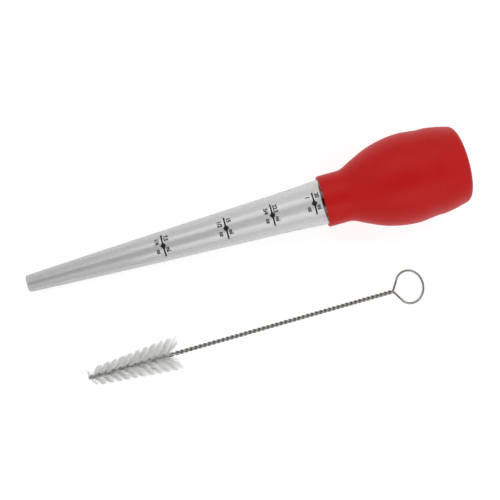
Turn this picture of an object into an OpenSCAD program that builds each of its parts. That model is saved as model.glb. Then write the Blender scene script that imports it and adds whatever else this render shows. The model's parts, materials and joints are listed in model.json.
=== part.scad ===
// Kitchen baster with a squeeze bulb, lying on a table beside its tube brush.
// Millimetres. +Z is up, +X runs from the baster's tip to its bulb, the brush lies on the -Y side,
// and the origin is under the middle of the whole set, on the table.

/* [Tube] */
// Length of the clear tube, from its tip to the end hidden in the bulb
tube_len = 188.5; // [180:0.5:200]
// Outer radius at the tip
tip_r = 4.85; // [4.6:0.05:5.5]
// Rounding of the rim at the tip
tip_round = 0.5; // [0.3:0.1:0.8]
// Length of the long taper
taper_len = 150; // [140:1:160]
// Outer radius at the end of the long taper
taper_end_r = 11.55; // [11:0.05:12]
// How far the taper bows outwards at its middle
taper_bow = 0.27; // [0:0.01:0.5]
// Distance from the tip to the start of the flare
flare_start = 148; // [140:1:150]
// Length of the flare
flare_len = 26; // [20:1:30]
// Outer radius of the socket that the bulb grips
socket_r = 13; // [12.5:0.05:13.5]
// Radius of the straight hole in the tip
tip_bore_r = 3.5; // [3:0.05:3.8]
// Length of the straight hole in the tip
tip_bore_len = 4; // [3:0.5:8]
// Radius of the bore at the end of its long taper
bore_end_r = 9.85; // [9:0.05:10]
// Distance from the tip to the end of the bore's long taper
bore_taper_end = 140; // [130:1:150]
// How far the bore bows outwards at the middle of its taper
bore_bow = 0.3; // [0:0.01:0.4]
// Distance from the tip to where the bore opens out into the socket
bore_ramp_start = 156; // [152:1:158]
// Length over which it opens out
bore_ramp_len = 20; // [14:1:24]
// Radius of the bore in the socket
socket_bore_r = 11.8; // [10.5:0.1:11.8]

/* [Bulb] */
// Length of the bulb, from its collar to its flat end
bulb_len = 81.5; // [76:0.5:88]
// How much of the tube the bulb's neck covers
neck_depth = 16.3; // [14:0.1:18]
// Outer radius of the neck
neck_r = 14.75; // [14.5:0.05:15.5]
// Rounding of the neck's edge
collar_round = 0.8; // [0.4:0.1:1.2]
// Largest outer radius of the bulb
belly_r = 26; // [24:0.5:30]
// Radius of the flat end
end_r = 18.4; // [17:0.1:19]
// Rounding between the side and the flat end
end_round = 4; // [3:0.5:5]
// Wall thickness of the bulb
bulb_wall = 2.2; // [1.5:0.1:2.5]
// Inner radius of the lip that the tube's end stops against
stop_r = 11.9; // [11.5:0.1:12.4]
// Thickness of that lip
stop_len = 2; // [1.5:0.1:3]

/* [Marks] */
// Volume between one printed mark and the next, in millilitres
mark_step = 7.5; // [5:0.5:8]
// Width of each printed line, across the tube
line_span = 12.2; // [8:0.1:13]
// Thickness of each printed line
line_wide = 0.9; // [0.4:0.1:1.2]
// Length of the diamond along the tube
diamond_len = 3.4; // [2:0.1:4]
// Width of the diamond across the tube
diamond_wide = 4.4; // [2:0.1:5]
// Thickness of the ink
ink = 0.08; // [0.05:0.01:0.15]

/* [Brush] */
// Length of the brush, from the cut ends of its wire to the far side of the ring
brush_len = 202.6; // [190:0.2:215]
// Radius of the wire
wire_r = 0.65; // [0.5:0.01:0.7]
// Length of the head, where the bristles are
head_len = 50; // [40:1:60]
// Length of one full turn of the twisted stem
stem_pitch = 5.4; // [5:0.1:7]
// Length of one full turn of the twisted head
head_pitch = 8.3; // [7:0.1:10]
// Half the length of the ring, along the brush
ring_half_len = 8.7; // [8:0.05:10]
// Half the width of the ring, across the brush
ring_half_wide = 9.75; // [8:0.05:11]
// Reach of the bristles at the front of the head
bristle_front_r = 5.3; // [4:0.1:7]
// Reach of the bristles at the back of the head
bristle_back_r = 10.1; // [8:0.1:12]
// How far the bristles lean back towards the ring, in degrees
bristle_lean = 32; // [0:1:40]

/* [Placement] */
// How far the tip of the brush lies behind the tip of the baster
brush_behind = 19; // [0:0.1:40]
// Distance between the two axes, at the tip of the brush
brush_apart = 59.8; // [45:0.1:80]
// How far the brush is turned from parallel, in degrees
brush_turn = -0.5; // [-2:0.1:2]

/* [Hidden] */
$fn = 96;

bulb_start = tube_len - neck_depth;
baster_len = bulb_start + bulb_len;
neck_gap = 0.05;
stop_gap = 0.1;
ink_gap = 0.01;
mouth_bevel = 0.3;
outline_step = 4;

// ---- Curves shared by the sub-parts ----

function smooth(t) = let (u = max(0, min(1, t))) u * u * (3 - 2 * u);
function bowed(a, b, bow, t) = a + (b - a) * t + 4 * bow * t * (1 - t);

// Cubic through a list of [distance, radius] points, with the given slopes at its two ends
function slope_at(pts, i, first, last) =
    i == 0 ? first
    : i == len(pts) - 1 ? last
    : (pts[i + 1].y - pts[i - 1].y) / (pts[i + 1].x - pts[i - 1].x);
function span_of(pts, x) = max([for (i = [0:len(pts) - 2]) if (x >= pts[i].x || i == 0) i]);
function curve(pts, x, first, last) =
    let (i = span_of(pts, x),
         gap = pts[i + 1].x - pts[i].x,
         t = (x - pts[i].x) / gap,
         s0 = slope_at(pts, i, first, last) * gap,
         s1 = slope_at(pts, i + 1, first, last) * gap)
    pts[i].y * (1 + 2 * t) * pow(1 - t, 2) + s0 * t * pow(1 - t, 2)
    + pts[i + 1].y * t * t * (3 - 2 * t) + s1 * t * t * (t - 1);

// ---- Tube outline: distance from the tip, radius ----

function taper_r(x) = bowed(tip_r, taper_end_r, taper_bow, x / taper_len);
function tube_r(x) =
    let (flare = smooth((x - flare_start) / flare_len))
    taper_r(min(x, taper_len)) * (1 - flare) + socket_r * flare;
function bore_r(x) =
    let (t = (x - tip_bore_len) / (bore_taper_end - tip_bore_len),
         ramp = smooth((x - bore_ramp_start) / bore_ramp_len))
    bowed(tip_bore_r, bore_end_r, bore_bow, max(0, min(1, t))) + ramp * (socket_bore_r - bore_end_r);

tube_outer = concat(
    [for (a = [90:-30:0]) [tip_round * (1 - sin(a)), tip_r - tip_round * (1 - cos(a))]],
    [for (x = [12:12:flare_start - 1]) [x, tube_r(x)]],
    [for (x = [flare_start:2:flare_start + flare_len]) [x, tube_r(x)]],
    [[tube_len - mouth_bevel, socket_r], [tube_len, socket_r - mouth_bevel]]);
tube_inner = concat(
    [[tube_len, socket_bore_r + mouth_bevel], [tube_len - mouth_bevel, socket_bore_r]],
    [for (x = [bore_ramp_start + bore_ramp_len:-2:bore_ramp_start]) [x, bore_r(x)]],
    [for (x = [bore_taper_end:-10:tip_bore_len + 1]) [x, bore_r(x)]],
    [[tip_bore_len, tip_bore_r], [0, tip_bore_r]]);

// ---- Bulb outline: distance from the collar, radius ----

end_angle = 16;
swell = belly_r - neck_r;
bulb_stations = [
    [0.130 * bulb_len, neck_r],
    [0.178 * bulb_len, neck_r + 0.04 * swell],
    [0.261 * bulb_len, neck_r + 0.33 * swell],
    [0.385 * bulb_len, neck_r + 0.715 * swell],
    [0.510 * bulb_len, neck_r + 0.935 * swell],
    [0.620 * bulb_len, belly_r],
    [0.700 * bulb_len, neck_r + 0.945 * swell],
    [0.755 * bulb_len, neck_r + 0.905 * swell],
    [0.804 * bulb_len, neck_r + 0.90 * swell],
    [0.883 * bulb_len, neck_r + 0.81 * swell],
    [bulb_len - end_round * (1 - sin(end_angle)), end_r + end_round * cos(end_angle)]];
function bulb_r(x) = curve(bulb_stations, x, 0, -tan(end_angle));
function cavity_r(x) = bulb_r(x) - bulb_wall;

side_start = bulb_stations[0].x;
side_end = bulb_stations[len(bulb_stations) - 1].x;
cavity_start = neck_depth + stop_gap + stop_len;
cavity_open = cavity_start + 5;
cavity_end = bulb_len - bulb_wall;
cavity_round = end_round;

bulb_outer = concat(
    [for (a = [0:30:90]) [collar_round * (1 - cos(a)), neck_r - collar_round * (1 - sin(a))]],
    [for (x = [side_start:outline_step / 2:side_end - 1]) [x, bulb_r(x)]],
    [for (a = [end_angle:(90 - end_angle) / 5:90])
        [bulb_len - end_round * (1 - sin(a)), end_r + end_round * cos(a)]],
    [[bulb_len, 0]]);
bulb_inner = concat(
    [[cavity_end, 0]],
    [for (a = [90:-30:0])
        [cavity_end - cavity_round * (1 - sin(a)),
         cavity_r(cavity_end - cavity_round) - cavity_round * (1 - cos(a))]],
    [for (x = [cavity_end - cavity_round - outline_step:-outline_step:cavity_open]) [x, cavity_r(x)]],
    [[cavity_start, stop_r], [neck_depth + stop_gap, stop_r],
     [neck_depth + stop_gap, socket_r + neck_gap], [0, socket_r + neck_gap]]);

// ---- Printed marks: where the volume measured from the tip reaches a value ----

volume_step = 0.25;
function slice_volume(x) = PI * pow(bore_r(x), 2) * volume_step / 1000;
function mark_at(millilitres, x = 0, filled = 0) =
    filled >= millilitres ? x : mark_at(millilitres, x + volume_step, filled + slice_volume(x));

// ---- How the two pieces lie: each touches the table at both ends ----

// Angle of a line that rests on the table at two rounds: k apart, one drop deeper than the other,
// and the shallower one a round of radius w
function lie_angle(k, drop, w) = atan(drop / k) - asin(w / norm([k, drop]));

baster_tilt = max([for (p = bulb_outer)
    lie_angle(bulb_start + p.x - tip_round, p.y - tip_r + tip_round, tip_round)]);
tip_height = (tip_r - tip_round) * cos(baster_tilt) + tip_round - tip_round * sin(baster_tilt);

brush_tilt = lie_angle(brush_len - wire_r - head_len, bristle_back_r, wire_r);
brush_height = wire_r + (brush_len - wire_r) * sin(brush_tilt);

// ---- The brush's wire: one wire, folded at the ring and twisted to the cut ends ----

strand_offset = wire_r + 0.02;
ring_mid = brush_len - wire_r - ring_half_len;
ring_open = 130;
stem_end = brush_len - 19.3;
wire_sides = 6;
turn_step = 36;

// Left-hand twist, in degrees, at a distance from the cut ends
function twist(x) = 360 * (min(x, head_len) / head_pitch + max(0, x - head_len) / stem_pitch);
function strand(x, side) =
    let (a = twist(x) - twist(stem_end) + (side > 0 ? 90 : -90))
    [x, strand_offset * sin(a), strand_offset * cos(a)];
function ring_point(a) = [ring_mid + ring_half_len * cos(a), ring_half_wide * sin(a), 0];

head_stop = head_len - head_pitch * turn_step / 720;
head_xs = [for (x = [0:head_pitch * turn_step / 360:head_stop]) x];
stem_xs = [for (x = [head_len:stem_pitch * turn_step / 360:stem_end]) x];
strand_xs = concat(head_xs, stem_xs);
strand_n = len(strand_xs);
ring_path = [for (a = [ring_open:-8:-ring_open]) ring_point(a)];
wire_path = concat(
    [for (x = strand_xs) strand(x, 1)],
    ring_path,
    [for (i = [strand_n - 1:-1:0]) strand(strand_xs[i], -1)]);

function unit(v) = v / norm(v);
function heading(path, i) = unit(path[min(i + 1, len(path) - 1)] - path[max(i - 1, 0)]);
// Side vectors carried along the path without spinning
function carried(path, i = 0, side = [0, 0, 1], found = []) =
    i == len(path) ? found
    : let (h = heading(path, i), s = unit(side - h * (side * h)))
      carried(path, i + 1, s, concat(found, [s]));
function ring_of(centre, h, side, r, n) =
    [for (k = [0:n - 1]) centre + r * (cos(360 * k / n) * side + sin(360 * k / n) * cross(h, side))];

// Closed skin over rings of n points each, one after another, with the given triangles at its ends
function fan(n) = [for (k = [1:n - 2]) [0, k, k + 1]];
module skin(points, n, cap) {
    last = len(points) - n;
    quads = [for (i = [0:n:last - 1], k = [0:n - 1])
        let (m = (k + 1) % n) [i + k, i + m, i + n + m, i + n + k]];
    sides = [for (q = quads, half = [0, 1]) half == 0 ? [q[0], q[2], q[1]] : [q[0], q[3], q[2]]];
    back = [for (t = cap) [last + t[2], last + t[1], last + t[0]]];
    polyhedron(points = points, faces = concat(cap, sides, back), convexity = 10);
}

// ---- Where the whole set sits: the origin is under the middle of its box ----

brush_low_y = min([for (p = ring_path) p.y - wire_r
    + p.x * cos(brush_tilt) * sin(brush_turn)]) - brush_apart;
set_min_x = (tip_round - tip_r) * sin(baster_tilt) - tip_round * (1 - cos(baster_tilt));
set_max_x = (baster_len - end_round) * cos(baster_tilt) + end_r * sin(baster_tilt) + end_round;
shift_x = -(set_min_x + set_max_x) / 2;
shift_y = -(belly_r + brush_low_y) / 2;

// Stands a turned piece, built along +Z from its tip, in the baster's place; its -X side is on top
module lay_baster() {
    translate([shift_x, shift_y, tip_height])
        rotate([0, 90 - baster_tilt, 0])
            children();
}

// Puts a piece built along +X from the cut ends of the wire in the brush's place
module lay_brush() {
    translate([shift_x + brush_behind, shift_y - brush_apart, brush_height])
        rotate([0, brush_tilt, brush_turn])
            children();
}

// Turns a list of [distance, radius] points about the baster's axis
module turned(outline) {
    rotate_extrude()
        polygon([for (p = outline) [p.y, p.x]]);
}

// ---- Sub-parts ----

module tube() {
    color([0.80, 0.83, 0.84, 0.5])
        lay_baster()
            turned(concat(tube_outer, tube_inner));
}

module bulb() {
    color([0.70, 0.09, 0.09])
        lay_baster()
            translate([0, 0, bulb_start])
                turned(concat(bulb_outer, bulb_inner));
}

// Thin band of ink round the tube, from x0 to x1 along it, which follows the tube's outline
band_steps = 4;
function ink_band(x0, x1) =
    let (step = (x1 - x0) / band_steps, xs = [for (i = [0:band_steps]) x0 + i * step])
    concat([for (x = xs) [x, tube_r(x) + ink_gap + ink]],
           [for (i = [band_steps:-1:0]) [xs[i], tube_r(xs[i]) + ink_gap]]);

// Outline of a mark: a line across the tube with a diamond on its middle
function half_mark() =
    let (meet = diamond_wide / 2 * (1 - line_wide / diamond_len))
    [[line_wide / 2, -line_span / 2], [line_wide / 2, -meet], [diamond_len / 2, 0],
     [line_wide / 2, meet], [line_wide / 2, line_span / 2]];

// The mark on top of the tube for a volume drawn up from the tip
module mark(millilitres) {
    x = mark_at(millilitres);
    half = half_mark();
    color([0.06, 0.06, 0.07])
        lay_baster()
            intersection() {
                turned(ink_band(x - diamond_len, x + diamond_len));
                translate([0, 0, x])
                    rotate([0, -90, 0])
                        linear_extrude(socket_r + 2)
                            polygon(concat(half, [for (p = half) -p]));
            }
}

module mark_7_5ml() { mark(mark_step); }
module mark_15ml() { mark(2 * mark_step); }
module mark_22_5ml() { mark(3 * mark_step); }
module mark_30ml() { mark(4 * mark_step); }

module brush_wire() {
    sides = carried(wire_path);
    color([0.75, 0.76, 0.78])
        lay_brush()
            skin([for (i = [0:len(wire_path) - 1])
                each ring_of(wire_path[i], heading(wire_path, i), sides[i], wire_r, wire_sides)],
                wire_sides, fan(wire_sides));
}

// Half the angle that one arm of bristles takes up, and half their thickness between the strands
arm_half = 12;
clamp_half = 0.25;
arm_step = 15;
arm_cap = [[5, 0, 1], [5, 1, 2], [2, 3, 4], [2, 4, 5]];
function bristle_reach(x) = bristle_front_r + (bristle_back_r - bristle_front_r) * x / head_len;
function bristle_point(x, a, r) =
    let (turn = a + twist(x) - twist(stem_end))
    [x + r * tan(bristle_lean), r * sin(turn), r * cos(turn)];
function bristle_ring(x, r) =
    [for (p = [[-arm_half, r], [arm_half, r], [90, clamp_half],
               [180 - arm_half, r], [180 + arm_half, r], [270, clamp_half]])
        bristle_point(x, p[0], p[1])];

// Two arms of bristles, held between the strands and wound round with them
module bristles() {
    front = -0.6 * bristle_front_r * tan(bristle_lean);
    lean_back = bristle_back_r * tan(bristle_lean);
    color([0.86, 0.87, 0.89])
        lay_brush()
            skin([for (x = [front:head_pitch * arm_step / 360:head_len - lean_back])
                each bristle_ring(x, bristle_reach(x + lean_back))], 6, arm_cap);
}

tube();
bulb();
mark_7_5ml();
mark_15ml();
mark_22_5ml();
mark_30ml();
brush_wire();
bristles();
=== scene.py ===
import json
import math
import random

import bmesh
import bpy
from mathutils import Matrix, Vector


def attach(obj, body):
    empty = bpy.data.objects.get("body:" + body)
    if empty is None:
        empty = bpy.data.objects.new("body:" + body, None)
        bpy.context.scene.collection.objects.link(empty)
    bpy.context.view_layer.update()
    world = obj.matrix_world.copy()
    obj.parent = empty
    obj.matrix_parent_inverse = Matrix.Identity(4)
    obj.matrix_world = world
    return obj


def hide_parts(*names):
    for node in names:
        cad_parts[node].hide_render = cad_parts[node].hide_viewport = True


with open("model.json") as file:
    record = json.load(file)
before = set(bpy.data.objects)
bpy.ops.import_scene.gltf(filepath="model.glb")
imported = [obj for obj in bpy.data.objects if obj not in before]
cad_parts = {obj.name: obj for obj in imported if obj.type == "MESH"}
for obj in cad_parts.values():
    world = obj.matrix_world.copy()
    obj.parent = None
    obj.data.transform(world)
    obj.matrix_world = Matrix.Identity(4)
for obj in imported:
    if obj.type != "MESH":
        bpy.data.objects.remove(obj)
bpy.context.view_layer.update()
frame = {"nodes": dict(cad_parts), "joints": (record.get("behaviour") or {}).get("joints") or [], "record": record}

MM = 0.001

# ---- Driving sizes, in millimetres, as in part.scad ----

TUBE_LEN = 188.5
TIP_R = 4.85
TIP_ROUND = 0.5
TAPER_LEN = 150.0
TAPER_END_R = 11.55
TAPER_BOW = 0.27
FLARE_START = 148.0
FLARE_LEN = 26.0
SOCKET_R = 13.0
TIP_BORE_R = 3.5
TIP_BORE_LEN = 4.0
BORE_END_R = 9.85
BORE_TAPER_END = 140.0
BORE_BOW = 0.3
BORE_RAMP_START = 156.0
BORE_RAMP_LEN = 20.0
SOCKET_BORE_R = 11.8
MOUTH_BEVEL = 0.3

BULB_LEN = 81.5
NECK_DEPTH = 16.3
NECK_R = 14.75
COLLAR_ROUND = 0.8
BELLY_R = 26.0
END_R = 18.4
END_ROUND = 4.0
END_ANGLE = math.radians(16)
BULB_WALL = 2.2
STOP_R = 11.9
STOP_LEN = 2.0
STOP_GAP = 0.1
NECK_GAP = 0.05
BULB_START = TUBE_LEN - NECK_DEPTH

MARK_STEP = 7.5
INK = 0.08
INK_GAP = 0.01
VOLUME_STEP = 0.25

BRUSH_LEN = 202.6
WIRE_R = 0.65
HEAD_LEN = 50.0
STEM_PITCH = 5.4
HEAD_PITCH = 8.3
RING_HALF_LEN = 8.7
RING_HALF_WIDE = 9.75
RING_OPEN = 130
RING_MID = BRUSH_LEN - WIRE_R - RING_HALF_LEN
STEM_END = BRUSH_LEN - 19.3
STRAND_OFFSET = WIRE_R + 0.02
BRISTLE_FRONT_R = 5.3
BRISTLE_BACK_R = 10.1
BRISTLE_LEAN = math.radians(32)

# ---- How finely the meshes are cut ----

AROUND = 160
TUBE_AROUND = 256
WIRE_SIDES = 12
HEAD_POINTS = 131
STEM_POINTS = 550
RING_POINTS = 66

# ---- Places along the tube's and the bulb's outlines, and their small edges, in millimetres ----

OUTER_START = 3.0
TIP_LIP = ((0.3, 0), (0.08, 0.07), (0, 0.25))
NECK_BEVEL = 0.2
CAVITY_RAMP = 5.0
FACE_EDGE = 1.0
SIDE_SHORT = 0.6

# ---- Filaments: counts, millimetres and radians. The THIN values are shares and sines ----

FILAMENTS = 4600
FILAMENT_R = 0.075
FILAMENT_RINGS = 5
FILAMENT_SIDES = 3
FILAMENT_SEED = 11
FIRST_ROOT = 0.3
ROOT_R = 0.4
PAST_HEAD = 3.0
REAR_LEAN = math.radians(38)
FORWARD_LEAN = math.radians(50)
FIRST_TUFT = 3.0
ARM_SPREAD = 0.42
LEAN_SPREAD = 0.035
SWAY_SPREAD = 0.3
SHORTEST = 0.955
BEND = 0.6
THIN_KEPT = 0.05
THIN_START = 0.2
THIN_RANGE = 0.6

# ---- Printed numbers, in millimetres. FONT_HEIGHT is a numeral's height in the font at size 1 ----

NUMBER_HEIGHT = 2.3
FONT_HEIGHT = 0.7
FONT_SQUEEZE = 0.86
FONT_BOLDER = 0.042
ML_ALONG = 1.2
OZ_ALONG = -4.2
ML_START = -5.6
OZ_START = -4.9
UNIT_START = 1.2

# ---- Floor and light, in metres. OPENING_AT and OPENING_HALF are the x and y of a direction ----

FLOOR_SIZE = 6
FLOOR_GLOW = 0.75
BOX_LEN = 0.6
BOX_AWAY = 0.9
TENT_TOP = 1.5
TENT_SIDE = 0.55
OPENING_LIGHT = 0.1
OPENING_AT = (-0.1, -0.14)
OPENING_HALF = (0.5, 0.43)
OPENING_EDGE = 0.12

# ---- Materials: where most values of a noise lie, and how far it stirs the plastic's tint ----

NOISE_LOW = 0.3
NOISE_HIGH = 0.7
TINT_WANDER = 0.1


# ---- Where the two pieces lie, from the frame ----

record = frame["record"]
mounts = {m["name"]: m for m in record["mounts"]}


def placing(along, side, up, start):
    """The matrix that puts a piece built in millimetres along +X from its tip in the row frame."""
    turn = Matrix((along, side, up)).transposed().to_4x4()
    return Matrix.Translation(start) @ turn @ Matrix.Scale(MM, 4)


pull = next(j for j in frame["joints"] if j["name"] == "bulb_pull")
baster_along = Vector(pull["axis"]).normalized()
baster_side = Vector((0, 1, 0))
baster_up = baster_along.cross(baster_side)
bore = mounts["tip_bore"]
baster_tip = Vector(bore["pos_m"]) + Vector(bore["axis"]) * bore["dims"]["length_mm"] / 2 * MM
BASTER = placing(baster_along, baster_side, baster_up, baster_tip)

ring = mounts["hanging_ring"]
brush_up = Vector(ring["axis"]).normalized()
level = math.hypot(brush_up.x, brush_up.y)
brush_along = Vector((brush_up.z * brush_up.x / level, brush_up.z * brush_up.y / level, -level))
brush_side = brush_up.cross(brush_along)
brush_tip = Vector(ring["pos_m"]) - brush_along * RING_MID * MM
BRUSH = placing(brush_along, brush_side, brush_up, brush_tip)


# ---- Camera: above the set, a little towards the tip, at the photograph's angle ----

CAMERA_OVER = 118.3
CAMERA_AWAY = 536.8
VIEW_MIDDLE = (125.4, -15.2)
VIEW_TURN = math.radians(15.6)
LENS = 68.4

eye = BASTER @ Vector((CAMERA_OVER, VIEW_MIDDLE[1], CAMERA_AWAY))
target = BASTER @ Vector((VIEW_MIDDLE[0], VIEW_MIDDLE[1], 0))
back = (eye - target).normalized()
right = baster_along * math.cos(VIEW_TURN) - baster_side * math.sin(VIEW_TURN)
right = (right - back * right.dot(back)).normalized()
camera_data = bpy.data.cameras.new("camera")
camera_data.lens = LENS
camera_data.sensor_width = 36
camera_data.clip_start = 0.01
camera = bpy.data.objects.new("camera", camera_data)
bpy.context.scene.collection.objects.link(camera)
camera.matrix_world = Matrix.Translation(eye) @ Matrix((right, back.cross(right), back)).transposed().to_4x4()
bpy.context.scene.camera = camera


# ---- Mesh tools ----

def add_object(name, mesh, body, slot, *materials):
    piece = bpy.data.objects.new(name, mesh)
    bpy.context.scene.collection.objects.link(piece)
    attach(piece, body)
    mesh.materials.clear()
    for material in materials:
        mesh.materials.append(material)
    return piece


def mesh_of(name, points, faces, place, smooth=True):
    mesh = bpy.data.meshes.new(name)
    mesh.from_pydata([place @ Vector(p) for p in points], [], faces)
    bm = bmesh.new()
    bm.from_mesh(mesh)
    bmesh.ops.recalc_face_normals(bm, faces=bm.faces)
    bm.to_mesh(mesh)
    bm.free()
    for polygon in mesh.polygons:
        polygon.use_smooth = smooth
    return mesh


def turned(name, outline, place, around=AROUND):
    """Turns an outline of (distance, radius) about the axis. It is closed on itself, or by the axis
    where its ends have no radius."""
    open_ends = outline[0][1] == 0
    rows = outline[1:-1] if open_ends else outline
    points = []
    for x, r in rows:
        for k in range(around):
            a = 2 * math.pi * k / around
            points.append((x, r * math.sin(a), r * math.cos(a)))
    count = len(rows)
    faces = []
    for i in range(count - 1 if open_ends else count):
        here, there = i * around, (i + 1) % count * around
        for k in range(around):
            m = (k + 1) % around
            faces.append((here + k, here + m, there + m, there + k))
    if open_ends:
        for row, (x, _) in ((0, outline[0]), (count - 1, outline[-1])):
            points.append((x, 0, 0))
            for k in range(around):
                faces.append((row * around + k, row * around + (k + 1) % around, len(points) - 1))
    return mesh_of(name, points, faces, place)


def swept(name, path, radius, sides, place):
    """A closed round tube along a path, whose sides don't spin."""
    points, faces = [], []
    side = Vector((0, 0, 1))
    for i, centre in enumerate(path):
        heading = (path[min(i + 1, len(path) - 1)] - path[max(i - 1, 0)]).normalized()
        side = (side - heading * side.dot(heading)).normalized()
        other = heading.cross(side)
        for k in range(sides):
            a = 2 * math.pi * k / sides
            points.append(centre + radius * (math.cos(a) * side + math.sin(a) * other))
    for i in range(len(path) - 1):
        for k in range(sides):
            m = (k + 1) % sides
            faces.append((i * sides + k, i * sides + m, (i + 1) * sides + m, (i + 1) * sides + k))
    faces.append(tuple(range(sides)))
    faces.append(tuple(range(len(points) - sides, len(points))))
    return mesh_of(name, points, faces, place)


def arc(count, start, end):
    """A count of values, evenly spaced from start to end."""
    return [start + (end - start) * i / (count - 1) for i in range(count)]


# ---- Outlines, by the same rules as part.scad ----

def smooth_step(t):
    t = min(max(t, 0), 1)
    return t * t * (3 - 2 * t)


def bowed(a, b, bow, t):
    return a + (b - a) * t + 4 * bow * t * (1 - t)


def tube_r(x):
    flare = smooth_step((x - FLARE_START) / FLARE_LEN)
    taper = bowed(TIP_R, TAPER_END_R, TAPER_BOW, min(x, TAPER_LEN) / TAPER_LEN)
    return taper * (1 - flare) + SOCKET_R * flare


def bore_r(x):
    t = (x - TIP_BORE_LEN) / (BORE_TAPER_END - TIP_BORE_LEN)
    ramp = smooth_step((x - BORE_RAMP_START) / BORE_RAMP_LEN) * (SOCKET_BORE_R - BORE_END_R)
    return bowed(TIP_BORE_R, BORE_END_R, BORE_BOW, min(max(t, 0), 1)) + ramp


def curve(stations, x, first, last):
    """Cubic through (distance, radius) stations, with the given slopes at its two ends."""
    i = max(k for k in range(len(stations) - 1) if x >= stations[k][0] or k == 0)

    def slope(k):
        if k == 0:
            return first
        if k == len(stations) - 1:
            return last
        return (stations[k + 1][1] - stations[k - 1][1]) / (stations[k + 1][0] - stations[k - 1][0])

    gap = stations[i + 1][0] - stations[i][0]
    t = (x - stations[i][0]) / gap
    return (stations[i][1] * (1 + 2 * t) * (1 - t) ** 2 + slope(i) * gap * t * (1 - t) ** 2
            + stations[i + 1][1] * t * t * (3 - 2 * t) + slope(i + 1) * gap * t * t * (t - 1))


SWELL = BELLY_R - NECK_R
STATIONS = [(share * BULB_LEN, NECK_R + out * SWELL) for share, out in (
    (0.130, 0), (0.178, 0.04), (0.261, 0.33), (0.385, 0.715), (0.510, 0.935), (0.620, 1),
    (0.700, 0.945), (0.755, 0.905), (0.804, 0.90), (0.883, 0.81))]
STATIONS.append((BULB_LEN - END_ROUND * (1 - math.sin(END_ANGLE)), END_R + END_ROUND * math.cos(END_ANGLE)))


def bulb_r(x):
    return NECK_R if x < STATIONS[0][0] else curve(STATIONS, x, 0, -math.tan(END_ANGLE))


def mark_at(millilitres):
    """Distance from the tip at which the bore holds a volume."""
    x, filled = 0, 0
    while filled < millilitres:
        filled += math.pi * bore_r(x) ** 2 * VOLUME_STEP / 1000
        x += VOLUME_STEP
    return x


# ---- Material tools ----

def new_material(name):
    material = bpy.data.materials.new(name)
    material.use_nodes = True
    nodes = material.node_tree.nodes
    return material, nodes, material.node_tree.links, nodes["Principled BSDF"]


def noise(nodes, links, scale, detail=3, stretch=(1, 1, 1)):
    """Noise in the object's own space, in metres; returns its factor."""
    where = nodes.new("ShaderNodeTexCoord")
    mapping = nodes.new("ShaderNodeMapping")
    mapping.inputs["Scale"].default_value = stretch
    texture = nodes.new("ShaderNodeTexNoise")
    texture.inputs["Scale"].default_value = scale
    texture.inputs["Detail"].default_value = detail
    links.new(where.outputs["Object"], mapping.inputs["Vector"])
    links.new(mapping.outputs["Vector"], texture.inputs["Vector"])
    return texture.outputs["Fac"]


def to_range(nodes, links, value, low, high):
    span = nodes.new("ShaderNodeMapRange")
    span.inputs["From Min"].default_value = NOISE_LOW
    span.inputs["From Max"].default_value = NOISE_HIGH
    span.inputs["To Min"].default_value = low
    span.inputs["To Max"].default_value = high
    links.new(value, span.inputs["Value"])
    return span.outputs["Result"]


def ramp(nodes, links, value, low, high):
    mix = nodes.new("ShaderNodeMix")
    mix.data_type = "RGBA"
    mix.inputs["A"].default_value = (*low, 1)
    mix.inputs["B"].default_value = (*high, 1)
    links.new(value, mix.inputs["Factor"])
    return mix.outputs["Result"]


def bump(nodes, links, height, strength, distance):
    node = nodes.new("ShaderNodeBump")
    node.inputs["Strength"].default_value = strength
    node.inputs["Distance"].default_value = distance
    links.new(height, node.inputs["Height"])
    return node.outputs["Normal"]


# ---- Materials ----

def clear_plastic(name, tip_tint, end_tint):
    """Clear plastic, whose tint runs from one colour at the tip to another at the bulb. A grey tint here is
    painted shade: it stands in for the dark surroundings seen through the clear tube.
    """
    material, nodes, links, shader = new_material(name)
    cloud = noise(nodes, links, 60, detail=4)
    where = nodes.new("ShaderNodeTexCoord")
    split = nodes.new("ShaderNodeSeparateXYZ")
    links.new(where.outputs["Object"], split.inputs["Vector"])
    along = nodes.new("ShaderNodeMapRange")
    along.inputs["From Min"].default_value = baster_tip.x
    along.inputs["From Max"].default_value = baster_tip.x + TUBE_LEN * MM
    links.new(split.outputs["X"], along.inputs["Value"])
    wander = nodes.new("ShaderNodeMath")
    wander.operation = "MULTIPLY_ADD"
    wander.inputs[1].default_value = TINT_WANDER
    links.new(cloud, wander.inputs[0])
    links.new(along.outputs["Result"], wander.inputs[2])
    tint = ramp(nodes, links, wander.outputs["Value"], tip_tint, end_tint)
    links.new(tint, shader.inputs["Base Color"])
    links.new(to_range(nodes, links, cloud, 0, 0.03), shader.inputs["Roughness"])
    shader.inputs["Transmission Weight"].default_value = 1
    shader.inputs["IOR"].default_value = 1.5
    return material


def red_rubber():
    material, nodes, links, shader = new_material("red_rubber")
    cloud = noise(nodes, links, 35, detail=4)
    grain = noise(nodes, links, 2500)
    tint = ramp(nodes, links, cloud, (0.415, 0.004, 0.0036), (0.455, 0.0055, 0.005))
    links.new(tint, shader.inputs["Base Color"])
    links.new(to_range(nodes, links, grain, 0.4, 0.5), shader.inputs["Roughness"])
    links.new(bump(nodes, links, grain, 0.12, 0.0001), shader.inputs["Normal"])
    shader.inputs["Specular IOR Level"].default_value = 0.15
    return material


def black_ink():
    material, nodes, links, shader = new_material("black_ink")
    grain = noise(nodes, links, 3000)
    tint = ramp(nodes, links, grain, (0.008, 0.008, 0.009), (0.022, 0.022, 0.024))
    links.new(tint, shader.inputs["Base Color"])
    links.new(to_range(nodes, links, grain, 0.35, 0.55), shader.inputs["Roughness"])
    shader.inputs["Specular IOR Level"].default_value = 0.1
    return material


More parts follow.
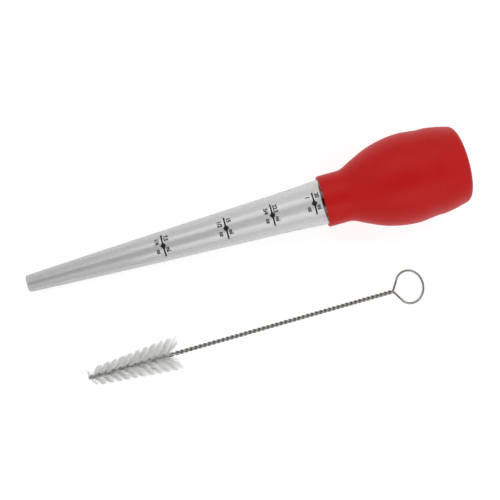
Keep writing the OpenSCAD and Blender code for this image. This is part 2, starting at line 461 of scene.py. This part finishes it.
def bright_wire():
    material, nodes, links, shader = new_material("bright_wire")
    streak = noise(nodes, links, 900, stretch=(0.15, 1, 1))
    tint = ramp(nodes, links, streak, (0.22, 0.217, 0.205), (0.32, 0.315, 0.30))
    links.new(tint, shader.inputs["Base Color"])
    links.new(to_range(nodes, links, streak, 0.16, 0.3), shader.inputs["Roughness"])
    links.new(bump(nodes, links, streak, 0.1, 0.00005), shader.inputs["Normal"])
    shader.inputs["Metallic"].default_value = 1
    return material


def white_nylon():
    material, nodes, links, shader = new_material("white_nylon")
    cloud = noise(nodes, links, 400, detail=2)
    tint = ramp(nodes, links, cloud, (0.76, 0.765, 0.75), (0.84, 0.845, 0.83))
    links.new(tint, shader.inputs["Base Color"])
    links.new(to_range(nodes, links, cloud, 0.3, 0.5), shader.inputs["Roughness"])
    shader.inputs["IOR"].default_value = 1.53
    return material


def pale_floor():
    """A pale sheet that glows by itself, as a light table does, so that shadows stay faint."""
    material, nodes, links, shader = new_material("pale_floor")
    grain = noise(nodes, links, 900)
    tint = ramp(nodes, links, grain, (0.34, 0.34, 0.34), (0.36, 0.36, 0.36))
    links.new(tint, shader.inputs["Base Color"])
    shader.inputs["Roughness"].default_value = 0.9
    shader.inputs["Emission Color"].default_value = (1, 1, 1, 1)
    shader.inputs["Emission Strength"].default_value = FLOOR_GLOW
    shader.inputs["Specular IOR Level"].default_value = 0.1
    return material


# The outer plastic's grey tint is painted shade for the dark surroundings seen through the clear tube. It is
# darker at the tip and lighter towards the bulb.
PLASTIC_WITH_PAINTED_SHADE = clear_plastic("clear_plastic", (0.43, 0.43, 0.432), (0.58, 0.58, 0.583))
PLASTIC_INSIDE = clear_plastic("clear_plastic_inside", (0.97, 0.97, 0.97), (0.99, 0.99, 0.99))
RUBBER = red_rubber()
INK_BLACK = black_ink()
WIRE = bright_wire()
NYLON = white_nylon()


# ---- The tube ----

def make_tube():
    rim = [(TIP_ROUND * (1 - math.sin(a)), TIP_R - TIP_ROUND * (1 - math.cos(a)))
           for a in arc(6, math.pi / 2, 0)]
    outer = [(x, tube_r(x)) for x in arc(90, OUTER_START, FLARE_START)]
    flare = [(x, tube_r(x)) for x in arc(40, FLARE_START + 1, FLARE_START + FLARE_LEN)]
    mouth = [(TUBE_LEN - MOUTH_BEVEL, SOCKET_R), (TUBE_LEN, SOCKET_R - MOUTH_BEVEL),
             (TUBE_LEN, SOCKET_BORE_R + MOUTH_BEVEL), (TUBE_LEN - MOUTH_BEVEL, SOCKET_BORE_R)]
    socket = [(x, bore_r(x)) for x in arc(30, BORE_RAMP_START + BORE_RAMP_LEN, BORE_RAMP_START)]
    bore_side = [(x, bore_r(x)) for x in arc(90, BORE_TAPER_END, TIP_BORE_LEN)]
    lip = [(x, TIP_BORE_R + wider) for x, wider in TIP_LIP]
    outline = rim + outer + flare + mouth + socket + bore_side + lip
    mesh = turned("clear_tube", outline, BASTER, TUBE_AROUND)
    piece = add_object("clear_tube", mesh, "tube", "clear_plastic", PLASTIC_WITH_PAINTED_SHADE, PLASTIC_INSIDE)
    inside = len(rim + outer + flare + mouth) - 1
    for polygon in mesh.polygons:
        if polygon.index >= inside * TUBE_AROUND:
            polygon.material_index = 1
    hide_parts("tube")


# ---- The bulb ----

def make_bulb():
    end = [(BULB_LEN - END_ROUND * (1 - math.sin(a)), END_R + END_ROUND * math.cos(a))
           for a in arc(12, math.pi / 2, END_ANGLE)]
    face = [(BULB_LEN, r) for r in arc(10, 0, END_R - FACE_EDGE)]
    side = [(x, bulb_r(x)) for x in arc(120, STATIONS[-1][0] - SIDE_SHORT, COLLAR_ROUND)]
    collar = [(COLLAR_ROUND * (1 - math.sin(a)), NECK_R - COLLAR_ROUND * (1 - math.cos(a)))
              for a in arc(8, 0, math.pi / 2)][1:]
    neck_end = NECK_DEPTH + STOP_GAP
    cavity_start = neck_end + STOP_LEN
    cavity_end = BULB_LEN - BULB_WALL
    neck_r = SOCKET_R + NECK_GAP
    neck = [(0, neck_r + NECK_BEVEL), (NECK_BEVEL, neck_r), (neck_end, neck_r),
            (neck_end, STOP_R), (cavity_start, STOP_R)]
    cavity = [(x, bulb_r(x) - BULB_WALL)
              for x in arc(50, cavity_start + CAVITY_RAMP, cavity_end - END_ROUND)]
    top = bulb_r(cavity_end - END_ROUND) - BULB_WALL
    corner = [(cavity_end - END_ROUND * (1 - math.sin(a)), top - END_ROUND * (1 - math.cos(a)))
              for a in arc(8, 0, math.pi / 2)][1:]
    outline = face + end + side + collar + neck + cavity + corner + [(cavity_end, 0)]
    mesh = turned("squeeze_bulb", [(BULB_START + x, r) for x, r in outline], BASTER)
    piece = add_object("squeeze_bulb", mesh, "bulb", "red_rubber", RUBBER)
    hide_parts("bulb")


# ---- The brush ----

def twist(x):
    """Left-hand twist of the wire at a distance from its cut ends, in radians."""
    return 2 * math.pi * (min(x, HEAD_LEN) / HEAD_PITCH + max(0, x - HEAD_LEN) / STEM_PITCH)


def strand(x, side):
    a = twist(x) - twist(STEM_END) + side * math.pi / 2
    return Vector((x, STRAND_OFFSET * math.sin(a), STRAND_OFFSET * math.cos(a)))


def make_wire():
    xs = arc(HEAD_POINTS, 0, HEAD_LEN) + arc(STEM_POINTS, HEAD_LEN, STEM_END)[1:]
    ring_path = [Vector((RING_MID + RING_HALF_LEN * math.cos(a), RING_HALF_WIDE * math.sin(a), 0))
                 for a in arc(RING_POINTS, math.radians(RING_OPEN), -math.radians(RING_OPEN))]
    path = [strand(x, 1) for x in xs] + ring_path + [strand(x, -1) for x in reversed(xs)]
    mesh = swept("twisted_wire", path, WIRE_R, WIRE_SIDES, BRUSH)
    piece = add_object("twisted_wire", mesh, "brush", "bright_wire", WIRE)
    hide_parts("brush_wire")


def filament_lean(x, angle, share):
    """The first filaments on the +Y side point forwards, and the others lean back more and more
    towards the ring."""
    lean = BRISTLE_LEAN + (REAR_LEAN - BRISTLE_LEAN) * share
    forward = max(0, math.sin(angle)) * (1 - smooth_step((x - FIRST_ROOT) / FIRST_TUFT))
    return lean - FORWARD_LEAN * forward


def add_filament(points, faces, x, angle, reach, lean, sway):
    """One filament with its root at x, as a thin closed tube that bends a little and sways at its end."""
    out = Vector((0, math.sin(angle), math.cos(angle)))
    side = Vector((0, math.cos(angle), -math.sin(angle)))
    first = len(points)
    for j in range(FILAMENT_RINGS):
        t = j / (FILAMENT_RINGS - 1)
        r = ROOT_R + (reach - ROOT_R) * t
        bend = BEND * math.sin(math.pi * t) * math.tan(lean)
        centre = Vector((x + r * math.tan(lean) - bend, 0, 0)) + out * r + side * sway * t * t
        for k in range(FILAMENT_SIDES):
            a = 2 * math.pi * k / FILAMENT_SIDES
            points.append(centre + FILAMENT_R * (math.cos(a) * side + math.sin(a) * Vector((1, 0, 0))))
    for j in range(FILAMENT_RINGS - 1):
        here = first + j * FILAMENT_SIDES
        there = here + FILAMENT_SIDES
        for k in range(FILAMENT_SIDES):
            m = (k + 1) % FILAMENT_SIDES
            faces.append((here + k, here + m, there + m, there + k))
    faces.append(tuple(first + k for k in range(FILAMENT_SIDES)))
    faces.append(tuple(len(points) - FILAMENT_SIDES + k for k in range(FILAMENT_SIDES)))


def make_bristles():
    """Nylon filaments, held between the strands, that wind round with them in two arms. Those that
    point up or down are thinned out, so that the wire shows through the head from above."""
    rng = random.Random(FILAMENT_SEED)
    points, faces = [], []
    last = HEAD_LEN + PAST_HEAD - BRISTLE_BACK_R * math.tan(REAR_LEAN)
    for n in range(FILAMENTS):
        share = (n // 2 + rng.random()) / (FILAMENTS / 2)
        x = FIRST_ROOT + (last - FIRST_ROOT) * share
        angle = twist(x) - twist(STEM_END) + math.pi * (n % 2) + rng.gauss(0, ARM_SPREAD)
        reach = BRISTLE_FRONT_R + (BRISTLE_BACK_R - BRISTLE_FRONT_R) * share
        reach *= rng.uniform(SHORTEST, 1.0)
        lean = filament_lean(x, angle, share) + rng.gauss(0, LEAN_SPREAD)
        sway, drop = rng.gauss(0, SWAY_SPREAD), rng.random()
        sideways = smooth_step((abs(math.sin(angle)) - THIN_START) / THIN_RANGE)
        if drop <= THIN_KEPT + (1 - THIN_KEPT) * sideways:
            add_filament(points, faces, x, angle, reach, lean, sway)
    mesh = mesh_of("nylon_bristles", points, faces, BRUSH, smooth=False)
    piece = add_object("nylon_bristles", mesh, "brush", "white_nylon", NYLON)
    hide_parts("bristles")


make_tube()
make_bulb()
make_wire()
make_bristles()

for node in ("mark_7_5ml", "mark_15ml", "mark_22_5ml", "mark_30ml"):
    mark = frame["nodes"][node]
    mark.data.materials.clear()
    mark.data.materials.append(INK_BLACK)


# ---- The printed numbers ----

def wrapped_text(name, words, x, start):
    """Printed words across the top of the tube, from +Y to -Y, with their feet at x and their tops
    towards the bulb."""
    text = bpy.data.curves.new(name, "FONT")
    text.body = words
    text.size = 1
    text.align_x = "LEFT"
    text.resolution_u = 4
    text.offset = FONT_BOLDER
    holder = bpy.data.objects.new(name, text)
    bpy.context.scene.collection.objects.link(holder)
    bpy.context.view_layer.update()
    mesh = bpy.data.meshes.new_from_object(holder.evaluated_get(bpy.context.evaluated_depsgraph_get()))
    bpy.data.objects.remove(holder)
    bm = bmesh.new()
    bm.from_mesh(mesh)
    bmesh.ops.triangulate(bm, faces=bm.faces)
    for v in bm.verts:
        across = start + v.co.x * NUMBER_HEIGHT / FONT_HEIGHT * FONT_SQUEEZE
        at = x + v.co.y * NUMBER_HEIGHT / FONT_HEIGHT
        r = tube_r(at) + INK_GAP
        a = across / r
        v.co = (at, -r * math.sin(a), r * math.cos(a))
    shell = bmesh.ops.extrude_face_region(bm, geom=list(bm.faces))
    for v in shell["geom"]:
        if isinstance(v, bmesh.types.BMVert):
            r = math.hypot(v.co.y, v.co.z)
            v.co.y *= (r + INK) / r
            v.co.z *= (r + INK) / r
    bmesh.ops.recalc_face_normals(bm, faces=bm.faces)
    bm.to_mesh(mesh)
    bm.free()
    mesh.transform(BASTER)
    add_object(name, mesh, "tube", "black_ink", INK_BLACK)


for k, (ml, ounces) in enumerate((("7.5", "1/4"), ("15", "1/2"), ("22.5", "3/4"), ("30", "1")), 1):
    x = mark_at(k * MARK_STEP)
    wrapped_text(f"ml_number_{k}", ml, x + ML_ALONG, ML_START)
    wrapped_text(f"ml_unit_{k}", "ml", x + ML_ALONG, UNIT_START)
    wrapped_text(f"oz_number_{k}", ounces, x + OZ_ALONG, OZ_START)
    wrapped_text(f"oz_unit_{k}", "oz", x + OZ_ALONG, UNIT_START)


# ---- Floor and light ----

def add_floor():
    bpy.ops.mesh.primitive_plane_add(size=FLOOR_SIZE, location=(0, 0, 0))
    floor = bpy.context.object
    floor.name = "floor"
    floor.data.materials.append(pale_floor())


def softbox(name, lean, wide, radiance):
    """A soft light over the set, along it, that leans towards +Y from straight up."""
    light = bpy.data.lights.new(name, "AREA")
    light.shape = "RECTANGLE"
    light.size, light.size_y = BOX_LEN, wide
    light.energy = radiance * math.pi * BOX_LEN * wide
    lamp = bpy.data.objects.new(name, light)
    bpy.context.scene.collection.objects.link(lamp)
    lamp.matrix_world = Matrix.Rotation(-lean, 4, "X") @ Matrix.Translation((0, 0, BOX_AWAY))


def studio_tent():
    """A bright tent, dimmer towards the horizon, with a dim opening overhead for the camera."""
    world = bpy.data.worlds.new("tent")
    world.use_nodes = True
    nodes, links = world.node_tree.nodes, world.node_tree.links
    where = nodes.new("ShaderNodeTexCoord")
    mapping = nodes.new("ShaderNodeMapping")
    at_x, at_y = OPENING_AT
    half_x, half_y = OPENING_HALF
    mapping.inputs["Location"].default_value = (-at_x / half_x, -at_y / half_y, 0)
    mapping.inputs["Scale"].default_value = (1 / half_x, 1 / half_y, 0)
    reach = nodes.new("ShaderNodeVectorMath")
    reach.operation = "LENGTH"
    edge = nodes.new("ShaderNodeMapRange")
    edge.interpolation_type = "SMOOTHSTEP"
    edge.inputs["From Min"].default_value = 1 - OPENING_EDGE
    edge.inputs["From Max"].default_value = 1 + OPENING_EDGE
    split = nodes.new("ShaderNodeSeparateXYZ")
    links.new(where.outputs["Generated"], mapping.inputs["Vector"])
    links.new(where.outputs["Generated"], split.inputs["Vector"])
    links.new(mapping.outputs["Vector"], reach.inputs[0])
    links.new(reach.outputs["Value"], edge.inputs["Value"])
    tent = ramp(nodes, links, split.outputs["Z"], (TENT_SIDE,) * 3, (TENT_TOP,) * 3)
    level = nodes.new("ShaderNodeMix")
    level.data_type = "RGBA"
    level.inputs["A"].default_value = (OPENING_LIGHT,) * 3 + (1,)
    links.new(edge.outputs["Result"], level.inputs["Factor"])
    links.new(tent, level.inputs["B"])
    links.new(level.outputs["Result"], nodes["Background"].inputs["Color"])
    bpy.context.scene.world = world


add_floor()
studio_tent()
softbox("softbox_far", lean=math.radians(41), wide=0.3, radiance=1.1)
softbox("softbox_near", lean=math.radians(-43), wide=0.66, radiance=1.1)

bpy.context.scene.view_settings.view_transform = "Standard"
